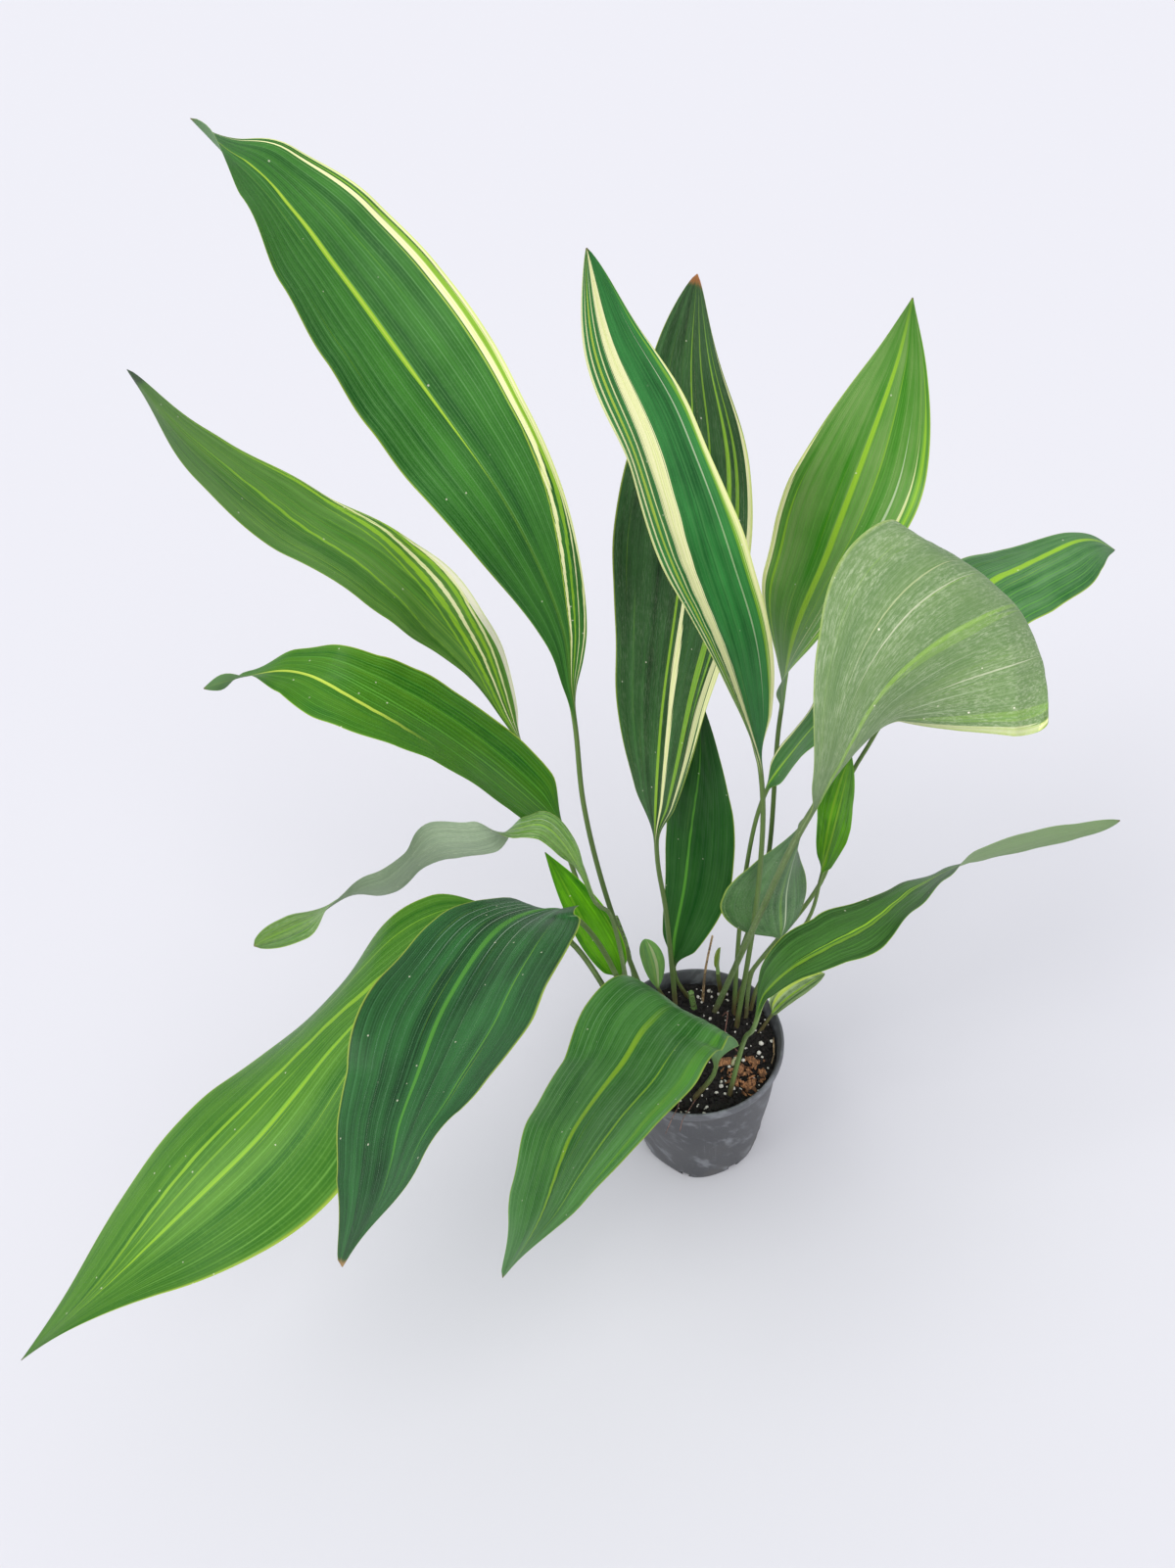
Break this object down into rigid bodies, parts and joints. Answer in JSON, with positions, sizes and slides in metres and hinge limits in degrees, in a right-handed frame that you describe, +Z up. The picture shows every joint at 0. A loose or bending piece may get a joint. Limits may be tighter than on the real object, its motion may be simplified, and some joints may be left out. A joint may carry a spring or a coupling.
{
  "type": "potted cast iron plant",
  "caption": "Broad-leaved foliage plant with long upright and arching striped leaves on thin stalks, standing in soil in a small tapered black nursery pot.",
  "frame": {"origin": "centre of the pot's flat underside", "axes": "+Z up, -Y towards the front of the plant, +X to its right"},
  "size_m": [0.8657, 0.4588, 0.8534],
  "materials": {
    "pot_plastic": "thin black polythene, matt with pale scuffs",
    "potting_soil": "damp dark bark and peat mix with white grains",
    "bark": "dry orange-brown bark",
    "leaf_striped": "leathery green with fine veins and pale yellow stripes, half gloss",
    "leaf_pale": "pale grey-green underside of a leaf, matt",
    "leaf_young": "young bright green leaf, half gloss",
    "dry_husk": "dry papery husk"
  },
  "bodies": {
    "root": {"pot": "pot_plastic", "soil": "potting_soil", "bark_chip_1": "bark", "bark_chip_2": "bark", "bark_chip_3": "bark", "bark_chip_4": "bark", "bark_chip_5": "bark", "bark_chip_6": "bark", "leaf_left_tallest": "leaf_striped", "leaf_left_upper": "leaf_striped", "leaf_left_middle": "leaf_striped", "leaf_left_twisted": "leaf_pale", "leaf_left_young": "leaf_young", "leaf_front_left_long": "leaf_striped", "leaf_front_left_drooping": "leaf_striped", "leaf_front_drooping": "leaf_striped", "leaf_centre_cream": "leaf_striped", "leaf_centre_dark": "leaf_striped", "leaf_right_upper": "leaf_striped", "leaf_right_pale": "leaf_pale", "leaf_right_far": "leaf_striped", "leaf_right_twisted": "leaf_striped", "leaf_centre_small": "leaf_striped", "leaf_right_folded": "leaf_pale", "leaf_right_narrow": "leaf_young", "leaf_right_inner": "leaf_striped", "leaf_seedling_left": "leaf_young", "leaf_seedling_right": "leaf_young", "shoot_rolled": "leaf_young", "stalk_cut_left": "leaf_young", "sheath_cut_centre": "dry_husk", "stalk_dry_centre": "dry_husk"}
  },
  "joints": []
}
